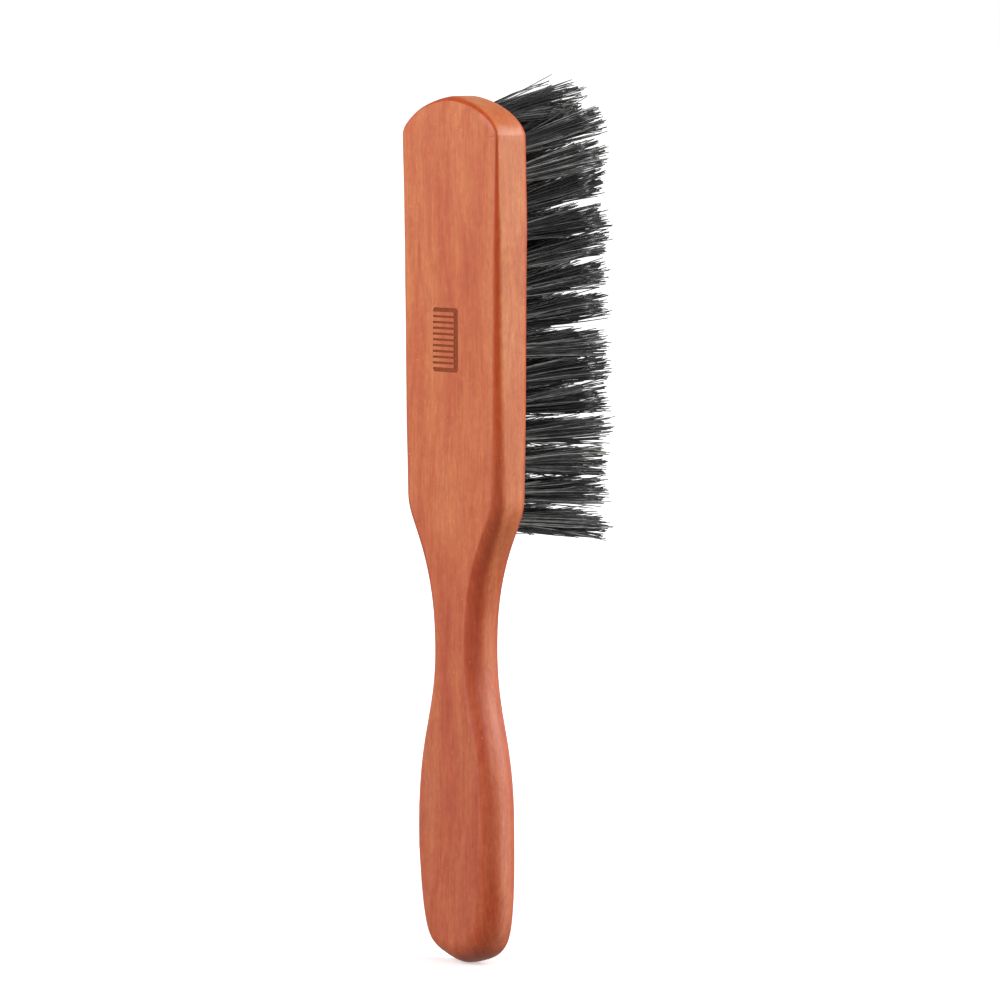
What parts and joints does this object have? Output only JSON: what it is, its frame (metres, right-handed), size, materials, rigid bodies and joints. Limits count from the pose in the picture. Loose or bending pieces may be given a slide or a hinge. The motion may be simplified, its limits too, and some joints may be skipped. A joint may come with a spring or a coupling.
{
  "type": "beard brush",
  "caption": "Hand-held beard brush: flat waisted wooden board with a rounded head and grip, and rows of stiff dark bristle tufts on one face of the head.",
  "frame": {"origin": "under the middle of the brush's box, at the level of the grip's tip, with the brush upright on its grip", "axes": "+Z along the board from the grip's tip to the head, +Y the way the bristles point, +X across the board"},
  "size_m": [0.0254, 0.0272, 0.1552],
  "materials": {
    "wood": "satin",
    "bristle": "satin",
    "staple": "satin"
  },
  "bodies": {
    "root": {"tuft_inner_left_01": "bristle", "tuft_inner_left_02": "bristle", "tuft_inner_left_03": "bristle", "tuft_inner_left_04": "bristle", "tuft_inner_left_05": "bristle", "tuft_inner_left_06": "bristle", "tuft_inner_left_07": "bristle", "tuft_inner_left_08": "bristle", "tuft_inner_left_09": "bristle", "tuft_inner_left_10": "bristle", "tuft_inner_left_11": "bristle", "tuft_inner_left_12": "bristle", "tuft_inner_left_13": "bristle", "tuft_inner_left_14": "bristle", "tuft_inner_left_15": "bristle", "tuft_inner_right_01": "bristle", "tuft_inner_right_02": "bristle", "tuft_inner_right_03": "bristle", "tuft_inner_right_04": "bristle", "tuft_inner_right_05": "bristle", "tuft_inner_right_06": "bristle", "tuft_inner_right_07": "bristle", "tuft_inner_right_08": "bristle", "tuft_inner_right_09": "bristle", "tuft_inner_right_10": "bristle", "tuft_inner_right_11": "bristle", "tuft_inner_right_12": "bristle", "tuft_inner_right_13": "bristle", "tuft_inner_right_14": "bristle", "tuft_inner_right_15": "bristle", "tuft_outer_left_01": "bristle", "tuft_outer_left_02": "bristle", "tuft_outer_left_03": "bristle", "tuft_outer_left_04": "bristle", "tuft_outer_left_05": "bristle", "tuft_outer_left_06": "bristle", "tuft_outer_left_07": "bristle", "tuft_outer_left_08": "bristle", "tuft_outer_left_09": "bristle", "tuft_outer_left_10": "bristle", "tuft_outer_left_11": "bristle", "tuft_outer_left_12": "bristle", "tuft_outer_left_13": "bristle", "tuft_outer_left_14": "bristle", "tuft_outer_right_01": "bristle", "tuft_outer_right_02": "bristle", "tuft_outer_right_03": "bristle", "tuft_outer_right_04": "bristle", "tuft_outer_right_05": "bristle", "tuft_outer_right_06": "bristle", "tuft_outer_right_07": "bristle", "tuft_outer_right_08": "bristle", "tuft_outer_right_09": "bristle", "tuft_outer_right_10": "bristle", "tuft_outer_right_11": "bristle", "tuft_outer_right_12": "bristle", "tuft_outer_right_13": "bristle", "tuft_outer_right_14": "bristle", "wood_body": "wood"}
  },
  "joints": []
}
